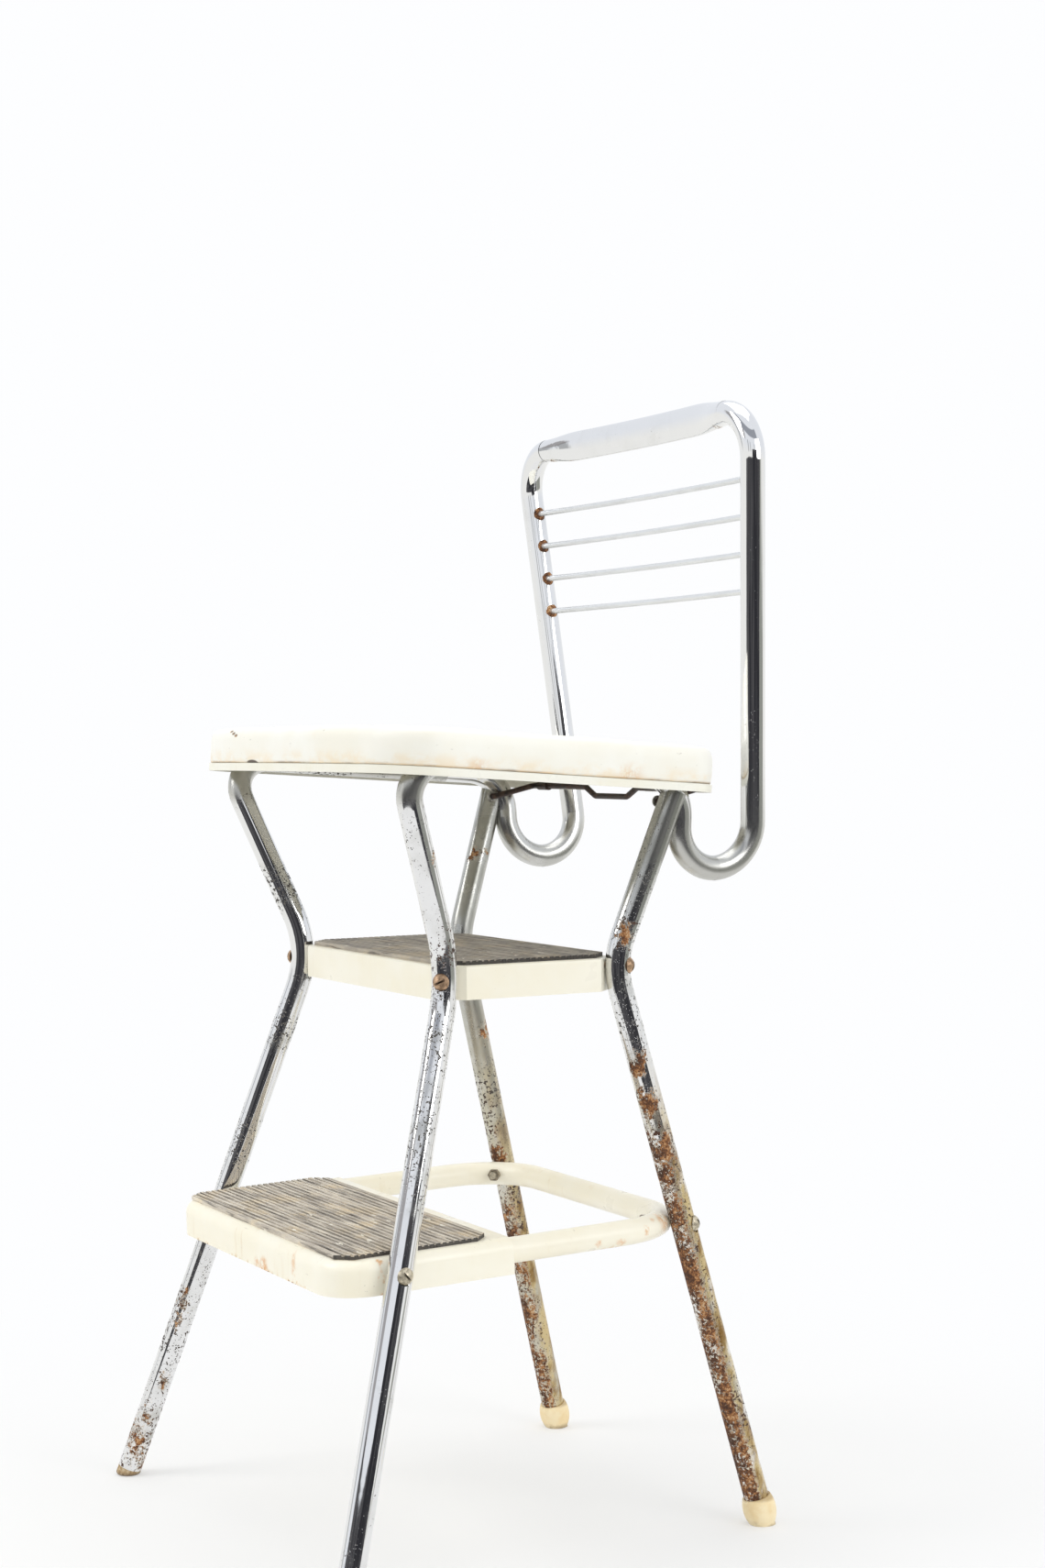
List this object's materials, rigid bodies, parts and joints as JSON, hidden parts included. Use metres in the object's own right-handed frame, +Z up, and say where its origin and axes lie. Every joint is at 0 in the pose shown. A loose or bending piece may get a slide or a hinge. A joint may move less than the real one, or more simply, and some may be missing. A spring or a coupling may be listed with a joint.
{
  "type": "step stool chair",
  "caption": "Step stool chair: bent chromed tube legs, two bolted steps with ribbed mats, a padded seat that flips up on a wire hinge, and a hoop backrest with cross rods.",
  "frame": {"origin": "on the floor, under the middle of the stool's bounding box", "axes": "+X across the stool, +Y to the back, +Z up"},
  "size_m": [0.4428, 0.4043, 0.8611],
  "materials": {
    "chrome_tube": "polished, pitted and rusty in places",
    "rod_metal": "dulled bright metal",
    "cream_paint": "satin enamel, chipped and stained",
    "step_mat": "worn ribbed mat",
    "seat_vinyl": "smooth vinyl, stained at its lower edge",
    "seat_filling": "soft filling",
    "hinge_wire_metal": "dark, tarnished",
    "fastener_steel": "tarnished",
    "cap_rubber": "yellowed, soft",
    "tip_rubber": "worn, dirty"
  },
  "bodies": {
    "frame": {"backrest_hoop": "chrome_tube", "backrest_rod_1": "rod_metal", "backrest_rod_2": "rod_metal", "backrest_rod_3": "rod_metal", "backrest_rod_4": "rod_metal", "front_foot_tip_left": "tip_rubber", "front_foot_tip_right": "tip_rubber", "front_leg_left": "chrome_tube", "front_leg_right": "chrome_tube", "hinge_washers": "fastener_steel", "lower_step_frame": "cream_paint", "lower_step_mat": "step_mat", "lower_step_nuts": "fastener_steel", "lower_step_plate": "cream_paint", "lower_step_screws": "fastener_steel", "rail_joint_screws": "fastener_steel", "rear_foot_cap_left": "cap_rubber", "rear_foot_cap_right": "cap_rubber", "rear_leg_left": "chrome_tube", "rear_leg_right": "chrome_tube", "upper_step_mat": "step_mat", "upper_step_nuts": "fastener_steel", "upper_step_pan": "cream_paint", "upper_step_screws": "fastener_steel"},
    "wire": {"hinge_wire": "hinge_wire_metal"},
    "seat": {"seat_pan": "cream_paint", "seat_foam": "seat_filling", "seat_cover": "seat_vinyl", "hinge_clips": "fastener_steel", "hinge_clip_rivets": "fastener_steel"}
  },
  "joints": [
    {"name": "wire_swing", "type": "hinge", "parent": "frame", "child": "wire", "pos_m": [0, 0.1104, 0.553], "axis": [1, 0, 0], "range_deg": [0, 10]},
    {"name": "seat_flip", "type": "hinge", "parent": "wire", "child": "seat", "pos_m": [0, 0.1483, 0.5616], "axis": [-1, 0, 0], "range_deg": [0, 92]}
  ],
  "couplings": [
    {"joint": "wire_swing", "follows": "seat_flip", "ratio": 0.1086}
  ]
}
